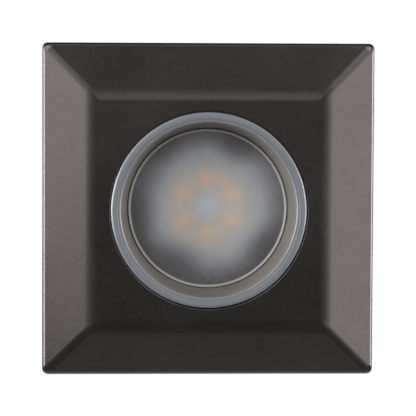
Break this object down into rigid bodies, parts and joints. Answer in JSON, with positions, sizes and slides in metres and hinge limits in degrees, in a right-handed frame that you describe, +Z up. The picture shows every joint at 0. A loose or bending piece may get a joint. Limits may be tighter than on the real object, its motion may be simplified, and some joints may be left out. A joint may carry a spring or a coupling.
{
  "type": "recessed spotlight",
  "caption": "Square recessed spotlight: dark metallic bezel with a raised face, glass-rimmed LED lamp under a frosted cover, can, spring clips and wiring box.",
  "frame": {"origin": "centre of the collar in the wall plane, which is the back face of the gasket", "axes": "-Y out of the wall towards the viewer, +Y along the collar into the wall, +Z up, +X to the viewer's right"},
  "size_m": [0.085, 0.0934, 0.085],
  "materials": {
    "bezel_paint": "satin",
    "gasket_foam": "matt",
    "can_steel": "satin",
    "zinc_steel": "satin",
    "spring_steel": "satin",
    "boot_rubber": "matt",
    "clear_glass": "polished",
    "frosted_plastic": "frosted",
    "board_white": "matt",
    "led_white": "gloss",
    "led_phosphor": "gloss",
    "core_aluminium": "satin",
    "lamp_plastic": "gloss",
    "board_green": "matt",
    "capacitor_sleeve": "gloss",
    "coil_copper": "satin",
    "chip_black": "matt",
    "pin_metal": "satin",
    "ceramic_white": "matt",
    "contact_brass": "satin",
    "lead_brown": "satin",
    "lead_blue": "satin",
    "lead_green": "satin",
    "box_plastic": "matt",
    "block_plastic": "satin",
    "grommet_rubber": "matt"
  },
  "bodies": {
    "fixture": {"bezel": "bezel_paint", "wall_gasket": "gasket_foam", "can": "can_steel", "can_screws": "zinc_steel", "lampholder": "ceramic_white", "holder_contacts": "contact_brass", "holder_screws": "zinc_steel", "lock_washer": "zinc_steel", "earth_tag": "zinc_steel", "lead_grommet": "grommet_rubber", "live_lead": "lead_brown", "neutral_lead": "lead_blue", "earth_lead": "lead_green", "terminal_box": "box_plastic", "terminal_block": "block_plastic", "terminal_inserts": "contact_brass", "terminal_screws": "zinc_steel", "block_screws": "zinc_steel", "cable_grommet": "grommet_rubber", "cord_clamp": "box_plastic", "clamp_screws": "zinc_steel", "lid_hinge_pin": "zinc_steel", "upper_clip_bracket": "zinc_steel", "upper_clip_rivets": "zinc_steel", "upper_clip_pin": "zinc_steel", "upper_clip_spring": "spring_steel", "lower_clip_bracket": "zinc_steel", "lower_clip_rivets": "zinc_steel", "lower_clip_pin": "zinc_steel", "lower_clip_spring": "spring_steel"},
    "upper_clip": {"upper_clip_arm": "zinc_steel", "upper_clip_boot": "boot_rubber"},
    "lower_clip": {"lower_clip_arm": "zinc_steel", "lower_clip_boot": "boot_rubber"},
    "lamp": {"lamp_glass": "clear_glass", "lamp_cover": "frosted_plastic", "led_board": "board_white", "led_packages": "led_white", "led_phosphors": "led_phosphor", "led_board_screws": "zinc_steel", "lamp_core": "core_aluminium", "lamp_base": "lamp_plastic", "driver_board": "board_green", "driver_capacitor": "capacitor_sleeve", "driver_coil": "coil_copper", "driver_chip": "chip_black", "link_pins": "contact_brass", "lamp_pins": "pin_metal"},
    "lid": {"terminal_lid": "box_plastic"}
  },
  "joints": [
    {"name": "upper_clip_fold", "type": "hinge", "parent": "fixture", "child": "upper_clip", "pos_m": [0.02185, 0.0115, 0.02185], "axis": [-0.7071, 0, 0.7071], "range_deg": [0, 116], "stiffness_Nm_per_rad": 0.047, "springref_deg": -68.75, "deforming": ["upper_clip_spring"]},
    {"name": "lower_clip_fold", "type": "hinge", "parent": "fixture", "child": "lower_clip", "pos_m": [-0.02185, 0.0115, -0.02185], "axis": [0.7071, 0, -0.7071], "range_deg": [0, 116], "stiffness_Nm_per_rad": 0.047, "springref_deg": -68.75, "deforming": ["lower_clip_spring"]},
    {"name": "lamp_twist", "type": "hinge", "parent": "fixture", "child": "lamp", "pos_m": [0, 0.0467, 0], "axis": [0, 1, 0], "range_deg": [-40, 0]},
    {"name": "lid_hinge", "type": "hinge", "parent": "fixture", "child": "lid", "pos_m": [0, 0.0842, 0.0179], "axis": [1, 0, 0], "range_deg": [0, 110]}
  ]
}
